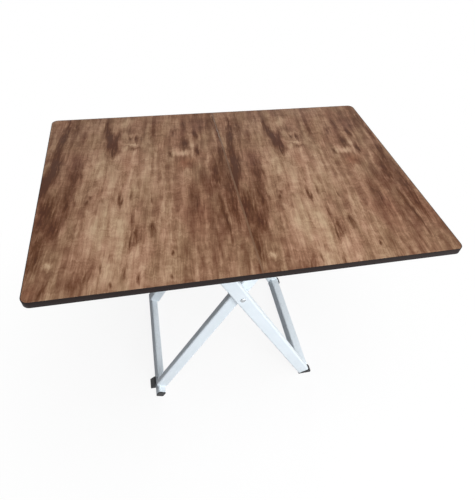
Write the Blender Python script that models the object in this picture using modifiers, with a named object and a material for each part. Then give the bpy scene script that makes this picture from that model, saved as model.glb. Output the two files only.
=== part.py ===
"""Folding table with a two-leaf top on crossed tube frames.

Two boards meet at a hinged seam over the middle of the table. Each board turns on the top ends of one
U-shaped leg frame, and the two frames cross at a riveted pivot. Lifting the seam closes the frames and
lets the boards hang down on both sides. X runs along the top's long side, Y to the back, Z up, and the
origin is on the floor under the middle of the top.
"""

import math

import bmesh
import bpy
from mathutils import Matrix, Vector

# Top: size of the open top, its height above the floor, and how the boards are made
TOP_WIDTH = 0.900
TOP_DEPTH = 0.635
TOP_HEIGHT = 0.730
BOARD_THICKNESS = 0.015
CORNER_RADIUS = 0.016
BAND_THICKNESS = 0.0012
SEAM_GAP = 0.0010

# Leg frames: flat steel tube, leaning from the vertical, crossing at the pivot. The inner frame is shorter
# than the top by the setback at each end, and both frames stand a little behind the top's middle.
LEG_WIDTH = 0.038
LEG_DEPTH = 0.020
TUBE_WALL = 0.0015
TUBE_CORNER = 0.0045
LEG_ANGLE = math.radians(27.8)
PIVOT_HEIGHT = 0.486
FRAME_SETBACK = 0.1315
FRAME_SHIFT = 0.010
FRAME_GAP = 0.005

# Floor bars of square tube. The inner legs stand on the inner bar, which lies with its frame and runs on
# past them. The outer bar lies between the outer legs, turned from the level and just clear of the floor.
INNER_BAR_SIDE = 0.025
INNER_BAR_OVERHANG = 0.021
OUTER_BAR_SIDE = 0.032
OUTER_BAR_TURN = math.radians(16.7)
OUTER_BAR_CLEARANCE = 0.002

# Leg tops: how far the tube runs past its upper pivot, and the room that its corner needs to turn
LEG_TOP_MARGIN = 0.010
LEG_TOP_CLEARANCE = 0.002

# Rivets and bolts
SHANK_RADIUS = 0.004
PIVOT_HEAD_RADIUS = 0.0075
PIVOT_HEAD_HEIGHT = 0.0030
FLAT_HEAD_RADIUS = 0.0070
FLAT_HEAD_HEIGHT = 0.0015

# Brackets that carry the boards on the leg tops
BRACKET_PLATE = 0.003
EAR_RADIUS = 0.010
EAR_TOP_WIDTH = 0.034
EAR_ROOT = 0.0008
FLANGE_WIDTH = 0.044
FLANGE_DEPTH = 0.026
FLANGE_INSET = 0.0003
EAR_RUNNING_GAP = 0.0005

# Butt hinges under the seam: one in the middle and one near each end
HINGE_LENGTH = 0.060
HINGE_SETBACK = 0.070
HINGE_PLATE_WIDTH = 0.026
HINGE_PLATE = 0.0015
KNUCKLE_RADIUS = 0.0032
KNUCKLE_GAP = 0.0004
KNUCKLE_CLEARANCE = 0.0008
MIDDLE_KNUCKLE_SHARE = 1 / 3
CURL_INSET = 0.00015
PIN_RADIUS = 0.0015

# Plastic feet under the outer legs and the inner bar, whose rear foot is a plain pad, and the tube end caps
FOOT_SOLE = 0.004
FOOT_ROUNDING = 0.0015
INNER_FOOT_LENGTH = 0.032
INNER_FOOT_SETBACK = 0.032
INNER_FOOT_TOE = 0.017
INNER_FOOT_TOE_HEIGHT = 0.008
INNER_FOOT_HEEL = 0.006
INNER_FOOT_LIP = 0.002
INNER_FOOT_LIP_THICKNESS = 0.003
INNER_PAD_REACH = 0.010
OUTER_FOOT_OVERHANG = 0.001
OUTER_FOOT_TOE = 0.010
OUTER_FOOT_TOE_HEIGHT = 0.010
OUTER_FOOT_LIP = 0.003
OUTER_FOOT_STEM = 0.014
CAP_FLANGE = 0.0015
BAR_CAP_FLANGE = 0.0025
BAR_CAP_DEPTH = 0.014

# Fits between touching pieces, between a shank and its hole, and how far a cut runs past its part
FIT_GAP = 0.0003
HOLE_CLEARANCE = 0.0003
CUT_MARGIN = 0.002

# Fineness of round shapes, and the angles and distances that tell edges and points apart
ROUND_STEPS = 24
HINGE_STEPS = 20
CORNER_STEPS = 8
TUBE_STEPS = 4
BORE_STEPS = 1
DOME_STEPS = 5
FOOT_STEPS = 2
ROUND_PROFILE = 0.5
EDGE_ALIGNMENT = 0.8
SMOOTH_ANGLE = math.radians(35)
FLAT_ANGLE = math.radians(1)
MERGE_DISTANCE = 0.00001

# Finishes: name, colour, roughness and, for bare metal, metallic
WOOD_PRINT = ("wood_print", (0.26, 0.15, 0.085), 0.42)
DARK_BAND = ("dark_band", (0.030, 0.022, 0.020), 0.50)
WHITE_ENAMEL = ("white_enamel", (0.80, 0.84, 0.87), 0.35)
BLACK_PLASTIC = ("black_plastic", (0.012, 0.012, 0.014), 0.55)
ZINC_STEEL = ("zinc_steel", (0.58, 0.59, 0.60), 0.32, 1.0)

# The two ends of the table along Y
ENDS = ((-1, "front"), (1, "rear"))


def bar_reach(side, turn):
    """How far a turned bar's rounded corner reaches from the bar's axis."""
    return (side / 2 - TUBE_CORNER) * (math.cos(turn) + math.sin(turn)) + TUBE_CORNER


# Places worked out from the sizes above
HALF_LEG = LEG_WIDTH / 2
BORE_CORNER = max(TUBE_CORNER - TUBE_WALL, FIT_GAP)
UNDERSIDE = TOP_HEIGHT - BOARD_THICKNESS
LEG_CAP_DEPTH = LEG_TOP_MARGIN - SHANK_RADIUS - 2 * HOLE_CLEARANCE
LEG_TOP_REACH = math.hypot(LEG_TOP_MARGIN + FIT_GAP + CAP_FLANGE, HALF_LEG)
LEAF_PIVOT_DROP = LEG_TOP_REACH + LEG_TOP_CLEARANCE
LEAF_PIVOT_HEIGHT = UNDERSIDE - LEAF_PIVOT_DROP
UPPER_LEG = (LEAF_PIVOT_HEIGHT - PIVOT_HEIGHT) / math.cos(LEG_ANGLE)
LEAF_PIVOT_X = UPPER_LEG * math.sin(LEG_ANGLE)
LEG_END_SPREAD = HALF_LEG * math.cos(LEG_ANGLE)
LEG_END_RISE = HALF_LEG * math.sin(LEG_ANGLE)
LEG_END_HEIGHT = FOOT_SOLE + LEG_END_RISE
INNER_BAR_REACH = bar_reach(INNER_BAR_SIDE, LEG_ANGLE)
INNER_BAR_HEIGHT = FOOT_SOLE + INNER_BAR_REACH
INNER_BAR_DROP = (PIVOT_HEIGHT - INNER_BAR_HEIGHT) / math.cos(LEG_ANGLE)
INNER_LEG_DROP = INNER_BAR_DROP - INNER_BAR_SIDE / 2 - FIT_GAP
OUTER_BAR_HEIGHT = OUTER_BAR_CLEARANCE + bar_reach(OUTER_BAR_SIDE, OUTER_BAR_TURN)
OUTER_BAR_DROP = (PIVOT_HEIGHT - OUTER_BAR_HEIGHT) / math.cos(LEG_ANGLE)
OUTER_LEG_DROP = (PIVOT_HEIGHT - LEG_END_HEIGHT) / math.cos(LEG_ANGLE)
SEAM_DROP = KNUCKLE_CLEARANCE + KNUCKLE_RADIUS
SEAM_HEIGHT = UNDERSIDE - SEAM_DROP

# Distances from the frames' middle plane, going out: bracket, inner leg, gap, outer leg, bracket
INNER_LEG_OUT = TOP_DEPTH / 2 - FRAME_SETBACK
INNER_LEG_IN = INNER_LEG_OUT - LEG_DEPTH
OUTER_LEG_IN = INNER_LEG_OUT + FRAME_GAP
OUTER_LEG_OUT = OUTER_LEG_IN + LEG_DEPTH
RIGHT_EAR_OUT = INNER_LEG_IN - EAR_RUNNING_GAP
RIGHT_EAR_IN = RIGHT_EAR_OUT - BRACKET_PLATE
LEFT_EAR_IN = OUTER_LEG_OUT + EAR_RUNNING_GAP
LEFT_EAR_OUT = LEFT_EAR_IN + BRACKET_PLATE


def clear_scene():
    for old in list(bpy.data.objects):
        bpy.data.objects.remove(old, do_unlink=True)


def new_collection(name):
    made = bpy.data.collections.new(name)
    bpy.context.scene.collection.children.link(made)
    return made


def new_material(name, colour, roughness, metallic=0.0):
    made = bpy.data.materials.new(name)
    made.use_nodes = True
    shader = made.node_tree.nodes["Principled BSDF"]
    shader.inputs["Base Color"].default_value = (*colour, 1.0)
    shader.inputs["Roughness"].default_value = roughness
    shader.inputs["Metallic"].default_value = metallic
    return made


clear_scene()
TABLE = new_collection("folding_table")
CUTTERS = new_collection("cutters")


def axis_empty(name, x, z, turn=0.0):
    """An empty on a joint's axis along Y, in the frames' middle plane, turned about that axis."""
    made = bpy.data.objects.new(name, None)
    made.location = (x, FRAME_SHIFT, z)
    made.rotation_euler = (0.0, turn, 0.0)
    TABLE.objects.link(made)
    return made


def add_part(name, mesh, finish, parent, location=(0.0, 0.0, 0.0), rotation=(0.0, 0.0, 0.0)):
    mesh.shade_smooth()
    mesh.set_sharp_from_angle(angle=SMOOTH_ANGLE)
    made = bpy.data.objects.new(name, mesh)
    mesh.materials.append(new_material(name + "_" + finish[0], *finish[1:]))
    made.parent = parent
    made.location = location
    made.rotation_euler = rotation
    TABLE.objects.link(made)
    return made


def add_helper(name, mesh, like):
    """A cutting or joining shape, placed like the part that it works on."""
    made = bpy.data.objects.new(name, mesh)
    made.parent = like.parent
    made.location = like.location
    made.rotation_euler = like.rotation_euler
    made.hide_render = True
    made.display_type = "WIRE"
    CUTTERS.objects.link(made)
    return made


def combine(part, helper, operation):
    modifier = part.modifiers.new(operation.lower() + "_" + helper.name, "BOOLEAN")
    modifier.operation = operation
    modifier.object = helper
    modifier.solver = "EXACT"


def mesh_from(name, bm):
    bmesh.ops.recalc_face_normals(bm, faces=bm.faces)
    mesh = bpy.data.meshes.new(name)
    bm.to_mesh(mesh)
    bm.free()
    return mesh


def box_into(bm, low, high):
    """Adds a box between two corners."""
    low, high = Vector(low), Vector(high)
    made = bmesh.ops.create_cube(bm, size=1.0)["verts"]
    bmesh.ops.scale(bm, vec=high - low, verts=made)
    bmesh.ops.translate(bm, vec=(low + high) / 2, verts=made)


def box_mesh(name, low, high):
    bm = bmesh.new()
    box_into(bm, low, high)
    return mesh_from(name, bm)


def rounded_box_mesh(name, low, high, along, radius, steps, keep=lambda middle: True):
    """A box whose edges along one axis are rounded, where keep says so of an edge's middle."""
    bm = bmesh.new()
    box_into(bm, low, high)
    picked = []
    for edge in bm.edges:
        run = edge.verts[1].co - edge.verts[0].co
        middle = (edge.verts[0].co + edge.verts[1].co) / 2
        if abs(run.normalized()[along]) > EDGE_ALIGNMENT and keep(middle):
            picked.append(edge)
    bmesh.ops.bevel(
        bm, geom=picked, offset=radius, segments=steps, profile=ROUND_PROFILE, affect="EDGES"
    )
    return mesh_from(name, bm)


def rod_into(bm, radius, near, far, steps, x=0.0, z=0.0):
    """Adds a cylinder along Y from near to far."""
    made = bmesh.ops.create_cone(
        bm, cap_ends=True, segments=steps, radius1=radius, radius2=radius, depth=far - near
    )["verts"]
    bmesh.ops.rotate(bm, matrix=Matrix.Rotation(math.pi / 2, 3, "X"), verts=made)
    bmesh.ops.translate(bm, vec=(x, (near + far) / 2, z), verts=made)


def rod_mesh(name, radius, near, far, steps=ROUND_STEPS, x=0.0, z=0.0):
    bm = bmesh.new()
    rod_into(bm, radius, near, far, steps, x, z)
    return mesh_from(name, bm)


def hull_mesh(name, bm):
    """The skin stretched round all of a mesh's points."""
    wrapped = bmesh.new()
    for point in bm.verts:
        wrapped.verts.new(point.co)
    bm.free()
    hull = bmesh.ops.convex_hull(wrapped, input=wrapped.verts)
    spare = [item for item in hull["geom_interior"] if isinstance(item, bmesh.types.BMVert)]
    bmesh.ops.delete(wrapped, geom=spare, context="VERTS")
    bmesh.ops.dissolve_limit(
        wrapped, angle_limit=FLAT_ANGLE, verts=wrapped.verts, edges=wrapped.edges
    )
    return mesh_from(name, wrapped)


def turned_mesh(name, profile, closed=False):
    """A profile of (radius, height) points, listed down its outer side."""
    bm = bmesh.new()
    points = [bm.verts.new((radius, 0.0, height)) for radius, height in profile]
    for upper, lower in zip(points, points[1:]):
        bm.edges.new((upper, lower))
    if closed:
        bm.edges.new((points[-1], points[0]))
    mesh = bpy.data.meshes.new(name)
    bm.to_mesh(mesh)
    bm.free()
    return mesh


def add_turned(name, profile, finish, parent, end, x=0.0, z=0.0, closed=False):
    """A turned piece on a joint's axis, whose heights are distances from the frames' middle plane."""
    made = add_part(
        name,
        turned_mesh(name, profile, closed),
        finish,
        parent,
        location=(x, 0.0, z),
        rotation=(-end * math.pi / 2, 0.0, 0.0),
    )
    screw = made.modifiers.new("turn", "SCREW")
    screw.axis = "Z"
    screw.angle = 2 * math.pi
    screw.steps = ROUND_STEPS
    screw.render_steps = ROUND_STEPS
    screw.use_merge_vertices = True
    screw.merge_threshold = MERGE_DISTANCE
    return made


def dome(base, height, radius):
    """A domed head's outline, from its crown down to its rim. A negative height gives rim to crown."""
    steps = [math.pi / 2 * step / DOME_STEPS for step in range(DOME_STEPS + 1)]
    points = [(radius * math.sin(turn), base + height * math.cos(turn)) for turn in steps]
    points[0] = (0.0, base + height)
    return points if height > 0 else points[::-1]


inner_frame = axis_empty("inner_frame_axis", 0.0, PIVOT_HEIGHT, LEG_ANGLE)
outer_frame = axis_empty("outer_frame_axis", 0.0, PIVOT_HEIGHT, -LEG_ANGLE)
right_leaf = axis_empty("right_leaf_axis", LEAF_PIVOT_X, LEAF_PIVOT_HEIGHT)
left_leaf = axis_empty("left_leaf_axis", 0.0, SEAM_HEIGHT)


def add_leg(name, frame, end, inside, drop, closed):
    """A leg tube along the frame's own Z, open or closed below, drilled for its two pivots."""
    near, far = sorted((end * inside, end * (inside + LEG_DEPTH)))
    top = UPPER_LEG + LEG_TOP_MARGIN
    tube = rounded_box_mesh(name, (-HALF_LEG, near, -drop), (HALF_LEG, far, top), 2, TUBE_CORNER, TUBE_STEPS)
    leg = add_part(name, tube, WHITE_ENAMEL, frame)
    bore = rounded_box_mesh(
        name + "_bore",
        (-HALF_LEG + TUBE_WALL, near + TUBE_WALL, -drop + (TUBE_WALL if closed else -CUT_MARGIN)),
        (HALF_LEG - TUBE_WALL, far - TUBE_WALL, top + CUT_MARGIN),
        2,
        BORE_CORNER,
        BORE_STEPS,
    )
    combine(leg, add_helper(name + "_bore", bore, leg), "DIFFERENCE")
    for hole, height in (("pivot_hole", 0.0), ("leaf_hole", UPPER_LEG)):
        drill = rod_mesh(
            name + "_" + hole,
            SHANK_RADIUS + HOLE_CLEARANCE,
            near - CUT_MARGIN,
            far + CUT_MARGIN,
            z=height,
        )
        combine(leg, add_helper(name + "_" + hole, drill, leg), "DIFFERENCE")
    place = (0.0, (near + far) / 2, top)
    add_cap(name + "_cap", frame, place, 0.0, (LEG_WIDTH, LEG_DEPTH), CAP_FLANGE, LEG_CAP_DEPTH)


def add_cap(name, frame, location, tilt, size, flange, depth):
    """A cap that closes a tube's end, which its own Z leaves: a flange on the rim and a stem in the bore."""
    wide, deep = size[0] / 2, size[1] / 2
    rim = rounded_box_mesh(
        name, (-wide, -deep, FIT_GAP), (wide, deep, FIT_GAP + flange), 2, TUBE_CORNER, TUBE_STEPS
    )
    cap = add_part(name, rim, BLACK_PLASTIC, frame, location, (tilt, 0.0, 0.0))
    stem = stem_mesh(name + "_stem", (-wide, -deep), (wide, deep), -depth, FIT_GAP + flange / 2)
    combine(cap, add_helper(name + "_stem", stem, cap), "UNION")


def stem_mesh(name, low, high, bottom, top):
    """The part of a cap or a foot that plugs a tube whose outside lies between two points in X and Y."""
    wall = TUBE_WALL + FIT_GAP
    return rounded_box_mesh(
        name,
        (low[0] + wall, low[1] + wall, bottom),
        (high[0] - wall, high[1] - wall, top),
        2,
        BORE_CORNER,
        BORE_STEPS,
    )


def add_bar(name, frame, length, side, turn, drop):
    """A floor bar along Y, of this half length, turned about its axis."""
    half = side / 2
    bar = rounded_box_mesh(
        name, (-half, -length, -half), (half, length, half), 1, TUBE_CORNER, TUBE_STEPS
    )
    place = (0.0, 0.0, -drop)
    made = add_part(name, bar, WHITE_ENAMEL, frame, location=place, rotation=(0.0, turn, 0.0))
    wide = half - TUBE_WALL
    reach = length + CUT_MARGIN
    bore = rounded_box_mesh(
        name + "_bore", (-wide, -reach, -wide), (wide, reach, wide), 1, BORE_CORNER, BORE_STEPS
    )
    combine(made, add_helper(name + "_bore", bore, made), "DIFFERENCE")


def inner_foot_outline():
    """A foot's section under the inner bar, from the bar's axis: sole, heel, lip and toe."""
    sole = -INNER_BAR_HEIGHT
    toe = -INNER_BAR_REACH - INNER_FOOT_TOE
    return [
        (toe, sole),
        (INNER_FOOT_HEEL, sole),
        (INNER_FOOT_HEEL, INNER_FOOT_LIP),
        (-INNER_BAR_REACH - INNER_FOOT_LIP_THICKNESS, INNER_FOOT_LIP),
        (toe, sole + INNER_FOOT_TOE_HEIGHT),
    ]


def inner_pad_outline():
    """The rear pad's section, from the bar's axis: a block that the bar hides from above."""
    sole = -INNER_BAR_HEIGHT
    return [
        (-INNER_PAD_REACH, sole),
        (INNER_FOOT_HEEL, sole),
        (INNER_FOOT_HEEL, INNER_FOOT_LIP),
        (-INNER_PAD_REACH, INNER_FOOT_LIP),
    ]


def outer_foot_outline():
    """A foot's section under an outer leg, from the middle of the leg's cut end: sole, toe, lip and heel."""
    sole = -LEG_END_HEIGHT
    toe = LEG_END_SPREAD + OUTER_FOOT_TOE
    lip = (
        LEG_END_SPREAD + OUTER_FOOT_LIP * math.cos(LEG_ANGLE),
        LEG_END_RISE + OUTER_FOOT_LIP * math.sin(LEG_ANGLE),
    )
    return [
        (-LEG_END_SPREAD, sole),
        (toe, sole),
        (toe, sole + OUTER_FOOT_TOE_HEIGHT),
        lip,
        (-LEG_END_SPREAD, -LEG_END_RISE),
    ]


def outline_mesh(name, points, depth):
    """An outline in X and Z, as a filled curve of the given depth along Y, made a mesh."""
    curve = bpy.data.curves.new(name, "CURVE")
    curve.dimensions = "2D"
    curve.fill_mode = "BOTH"
    curve.extrude = depth / 2
    spline = curve.splines.new("POLY")
    spline.points.add(len(points) - 1)
    for point, (x, z) in zip(spline.points, points):
        point.co = (x, z, 0.0, 1.0)
    spline.use_cyclic_u = True
    drawn = bpy.data.objects.new(name, curve)
    bpy.context.scene.collection.objects.link(drawn)
    graph = bpy.context.evaluated_depsgraph_get()
    flat = bpy.data.meshes.new_from_object(drawn.evaluated_get(graph))
    bm = bmesh.new()
    bm.from_mesh(flat)
    bmesh.ops.remove_doubles(bm, verts=bm.verts, dist=MERGE_DISTANCE)
    bmesh.ops.dissolve_limit(bm, angle_limit=FLAT_ANGLE, verts=bm.verts, edges=bm.edges)
    bmesh.ops.rotate(bm, matrix=Matrix.Rotation(math.pi / 2, 3, "X"), verts=bm.verts)
    bpy.data.objects.remove(drawn)
    bpy.data.curves.remove(curve)
    bpy.data.meshes.remove(flat)
    return mesh_from(name, bm)


def add_foot(name, frame, lean, outline, length, middle, drop):
    """A moulded foot that stands level under its leaning frame."""
    mesh = outline_mesh(name, outline, length)
    foot = add_part(name, mesh, BLACK_PLASTIC, frame, (0.0, middle, -drop), (0.0, -lean, 0.0))
    rounding = foot.modifiers.new("rounding", "BEVEL")
    rounding.width = FOOT_ROUNDING
    rounding.segments = FOOT_STEPS
    rounding.limit_method = "ANGLE"
    return foot


def fit_foot(foot, mesh, operation):
    """Cuts the foot's seat, or joins its stem, in line with the frame."""
    helper = add_helper(mesh.name, mesh, foot)
    helper.rotation_euler = (0.0, 0.0, 0.0)
    combine(foot, helper, operation)


inner_bar_length = INNER_LEG_OUT + INNER_BAR_OVERHANG
add_bar("inner_bottom_bar", inner_frame, inner_bar_length, INNER_BAR_SIDE, 0.0, INNER_BAR_DROP)
outer_bar_turn = OUTER_BAR_TURN + LEG_ANGLE
outer_bar_length = OUTER_LEG_IN - FIT_GAP
add_bar("outer_bottom_bar", outer_frame, outer_bar_length, OUTER_BAR_SIDE, outer_bar_turn, OUTER_BAR_DROP)

for end, word in ENDS:
    add_leg("inner_leg_" + word, inner_frame, end, INNER_LEG_IN, INNER_LEG_DROP, True)
    add_leg("outer_leg_" + word, outer_frame, end, OUTER_LEG_IN, OUTER_LEG_DROP, False)
    add_cap(
        "inner_bottom_bar_cap_" + word,
        inner_frame,
        (0.0, end * inner_bar_length, -INNER_BAR_DROP),
        -end * math.pi / 2,
        (INNER_BAR_SIDE, INNER_BAR_SIDE),
        BAR_CAP_FLANGE,
        BAR_CAP_DEPTH,
    )

    # The inner frame's foot: in front a wedge round the bar's lower outer side, and at the rear a pad
    name = "inner_foot_" + word
    middle = end * (inner_bar_length - INNER_FOOT_SETBACK - INNER_FOOT_LENGTH / 2)
    outline = inner_foot_outline() if word == "front" else inner_pad_outline()
    foot = add_foot(name, inner_frame, LEG_ANGLE, outline, INNER_FOOT_LENGTH, middle, INNER_BAR_DROP)
    half = INNER_BAR_SIDE / 2 + FIT_GAP
    reach = INNER_FOOT_LENGTH / 2 + CUT_MARGIN
    seat = rounded_box_mesh(
        name + "_seat", (-half, -reach, -half), (half, reach, half), 1, TUBE_CORNER + FIT_GAP, TUBE_STEPS
    )
    fit_foot(foot, seat, "DIFFERENCE")

    # The outer frame's foot: a wedge under the leg's cut end, with a stem in its bore
    name = "outer_foot_" + word
    foot_in = OUTER_LEG_IN + FIT_GAP
    foot_out = OUTER_LEG_OUT + OUTER_FOOT_OVERHANG
    middle = end * (foot_in + foot_out) / 2
    length = foot_out - foot_in
    foot = add_foot(name, outer_frame, -LEG_ANGLE, outer_foot_outline(), length, middle, OUTER_LEG_DROP)
    wide = LEG_WIDTH + OUTER_FOOT_TOE
    reach = length / 2 + CUT_MARGIN
    seat = box_mesh(name + "_seat", (-wide, -reach, -FIT_GAP), (wide, reach, wide))
    fit_foot(foot, seat, "DIFFERENCE")
    near, far = sorted((end * OUTER_LEG_IN - middle, end * OUTER_LEG_OUT - middle))
    stem = stem_mesh(name + "_stem", (-HALF_LEG, near), (HALF_LEG, far), -FOOT_SOLE / 2, OUTER_FOOT_STEM)
    fit_foot(foot, stem, "UNION")

# The crossing pivot: a domed rivet through both legs, with a washer between them
for end, word in ENDS:
    outer_face = OUTER_LEG_OUT + FIT_GAP
    inner_face = INNER_LEG_IN - FIT_GAP
    rivet = (
        dome(outer_face, PIVOT_HEAD_HEIGHT, PIVOT_HEAD_RADIUS)
        + [(SHANK_RADIUS, outer_face), (SHANK_RADIUS, inner_face)]
        + dome(inner_face, -PIVOT_HEAD_HEIGHT, PIVOT_HEAD_RADIUS)
    )
    add_turned("scissor_rivet_" + word, rivet, ZINC_STEEL, inner_frame, end)
    washer_in = INNER_LEG_OUT + FIT_GAP
    washer_out = OUTER_LEG_IN - FIT_GAP
    bore = SHANK_RADIUS + HOLE_CLEARANCE
    washer = [
        (PIVOT_HEAD_RADIUS, washer_out),
        (PIVOT_HEAD_RADIUS, washer_in),
        (bore, washer_in),
        (bore, washer_out),
    ]
    add_turned("scissor_washer_" + word, washer, BLACK_PLASTIC, inner_frame, end, closed=True)


def add_leaf(side, title, axis):
    """A board with a square edge at the seam and rounded corners outside, wrapped in a glued edge band."""
    shift = Vector(axis.location)
    outside = side * TOP_WIDTH / 2
    seam = side * SEAM_GAP / 2

    def slab(name, inset, low_z, high_z):
        x_low, x_high = sorted((seam + side * inset, outside - side * inset))
        depth = TOP_DEPTH / 2 - inset
        return rounded_box_mesh(
            name,
            Vector((x_low, -depth, low_z)) - shift,
            Vector((x_high, depth, high_z)) - shift,
            2,
            CORNER_RADIUS - inset,
            CORNER_STEPS,
            keep=lambda middle: side * (middle.x + shift.x) > TOP_WIDTH / 4,
        )

    board_inset = BAND_THICKNESS + FIT_GAP
    add_part(title + "_board", slab(title + "_board", board_inset, UNDERSIDE, TOP_HEIGHT), WOOD_PRINT, axis)
    name = title + "_edge_band"
    band = add_part(name, slab(name, 0.0, UNDERSIDE, TOP_HEIGHT), DARK_BAND, axis)
    core = slab(name + "_core", BAND_THICKNESS, UNDERSIDE - CUT_MARGIN, TOP_HEIGHT + CUT_MARGIN)
    combine(band, add_helper(name + "_core", core, band), "DIFFERENCE")


def add_bracket(name, axis, side, end, ear_in, flange_inward):
    """A pressed bracket: a tapered ear round the leaf's pivot, and a flange under the board."""
    x = side * LEAF_PIVOT_X - axis.location.x
    z = LEAF_PIVOT_HEIGHT - axis.location.z
    top = UNDERSIDE - FIT_GAP - axis.location.z
    near, far = sorted((end * ear_in, end * (ear_in + BRACKET_PLATE)))
    bm = bmesh.new()
    rod_into(bm, EAR_RADIUS, near, far, ROUND_STEPS, x, z)
    half = EAR_TOP_WIDTH / 2
    root = top - BRACKET_PLATE / 2
    box_into(bm, (x - half, near, root), (x + half, far, root + EAR_ROOT))
    bracket = add_part(name, hull_mesh(name, bm), WHITE_ENAMEL, axis)
    start = ear_in + BRACKET_PLATE - FLANGE_INSET if flange_inward else ear_in + FLANGE_INSET
    finish = start - FLANGE_DEPTH if flange_inward else start + FLANGE_DEPTH
    low, high = sorted((end * start, end * finish))
    half = FLANGE_WIDTH / 2
    flange = box_mesh(name + "_flange", (x - half, low, top - BRACKET_PLATE), (x + half, high, top))
    combine(bracket, add_helper(name + "_flange", flange, bracket), "UNION")
    drill = rod_mesh(
        name + "_hole", SHANK_RADIUS + HOLE_CLEARANCE, near - CUT_MARGIN, far + CUT_MARGIN, x=x, z=z
    )
    combine(bracket, add_helper(name + "_hole", drill, bracket), "DIFFERENCE")


add_leaf(1, "right", right_leaf)
add_leaf(-1, "left", left_leaf)

for end, word in ENDS:
    add_bracket("right_bracket_" + word, right_leaf, 1, end, RIGHT_EAR_IN, True)
    add_bracket("left_bracket_" + word, left_leaf, -1, end, LEFT_EAR_IN, False)

    # The right board's pivot: one rivet through the bracket and the inner leg
    outer_face = INNER_LEG_OUT + FIT_GAP
    inner_face = RIGHT_EAR_IN - FIT_GAP
    through = [
        (0.0, outer_face + FLAT_HEAD_HEIGHT),
        (FLAT_HEAD_RADIUS, outer_face + FLAT_HEAD_HEIGHT),
        (FLAT_HEAD_RADIUS, outer_face),
        (SHANK_RADIUS, outer_face),
        (SHANK_RADIUS, inner_face),
    ] + dome(inner_face, -PIVOT_HEAD_HEIGHT, PIVOT_HEAD_RADIUS)
    add_turned("right_pivot_rivet_" + word, through, ZINC_STEEL, right_leaf, end)

    # The left board's pivot: a bolt in the bracket meets a stud in the outer leg at the face between them
    outer_face = LEFT_EAR_OUT + FIT_GAP
    bolt = dome(outer_face, PIVOT_HEAD_HEIGHT, PIVOT_HEAD_RADIUS) + [
        (SHANK_RADIUS, outer_face),
        (SHANK_RADIUS, LEFT_EAR_IN),
        (0.0, LEFT_EAR_IN),
    ]
    drop = LEAF_PIVOT_HEIGHT - SEAM_HEIGHT
    add_turned("left_pivot_bolt_" + word, bolt, ZINC_STEEL, left_leaf, end, x=-LEAF_PIVOT_X, z=drop)
    inner_face = OUTER_LEG_IN - FIT_GAP
    stud = [
        (0.0, OUTER_LEG_OUT),
        (SHANK_RADIUS, OUTER_LEG_OUT),
        (SHANK_RADIUS, inner_face),
        (FLAT_HEAD_RADIUS, inner_face),
        (FLAT_HEAD_RADIUS, inner_face - FLAT_HEAD_HEIGHT),
        (0.0, inner_face - FLAT_HEAD_HEIGHT),
    ]
    add_turned("left_pivot_stud_" + word, stud, ZINC_STEEL, outer_frame, end, z=UPPER_LEG)


def add_hinge_half(name, axis, side, middle, knuckles):
    """Half a butt hinge: a plate under its board, curled round the pin at its knuckles."""
    shift = Vector(axis.location)
    at_seam = Vector((0.0, middle, SEAM_HEIGHT)) - shift
    top = UNDERSIDE - FIT_GAP - shift.z
    root = side * (KNUCKLE_RADIUS + KNUCKLE_GAP)
    x_low, x_high = sorted((at_seam.x + root, at_seam.x + side * HINGE_PLATE_WIDTH))
    half = HINGE_LENGTH / 2
    plate = box_mesh(
        name,
        (x_low, at_seam.y - half, top - HINGE_PLATE),
        (x_high, at_seam.y + half, top),
    )
    made = add_part(name, plate, ZINC_STEEL, axis)
    for number, (start, stop) in enumerate(knuckles):
        bm = bmesh.new()
        near, far = at_seam.y + start, at_seam.y + stop
        rod_into(bm, KNUCKLE_RADIUS, near, far, HINGE_STEPS, at_seam.x, at_seam.z)
        x_low, x_high = sorted((at_seam.x + root, at_seam.x + 2 * root))
        box_into(bm, (x_low, near, top - HINGE_PLATE + CURL_INSET), (x_high, far, top - CURL_INSET))
        curl = hull_mesh(name + "_curl_" + str(number), bm)
        combine(made, add_helper(curl.name, curl, made), "UNION")
    reach = half + CUT_MARGIN
    bore = rod_mesh(
        name + "_pin_hole",
        PIN_RADIUS + HOLE_CLEARANCE,
        at_seam.y - reach,
        at_seam.y + reach,
        HINGE_STEPS,
        at_seam.x,
        at_seam.z,
    )
    combine(made, add_helper(name + "_pin_hole", bore, made), "DIFFERENCE")


middle_reach = HINGE_LENGTH * MIDDLE_KNUCKLE_SHARE / 2
ending = HINGE_LENGTH / 2
end_hinge = TOP_DEPTH / 2 - HINGE_SETBACK
for place, word in ((-end_hinge, "front"), (0.0, "middle"), (end_hinge, "rear")):
    title = "seam_hinge_" + word
    add_hinge_half(title + "_right", right_leaf, 1, place, [(-middle_reach, middle_reach)])
    apart = middle_reach + KNUCKLE_GAP
    outer_knuckles = [(-ending, -apart), (apart, ending)]
    add_hinge_half(title + "_left", left_leaf, -1, place, outer_knuckles)
    middle = place - left_leaf.location.y
    pin = rod_mesh(title + "_pin", PIN_RADIUS, middle - ending, middle + ending, HINGE_STEPS)
    add_part(title + "_pin", pin, ZINC_STEEL, left_leaf)
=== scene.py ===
import math

import bmesh
import bpy
from mathutils import Matrix, Vector


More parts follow.
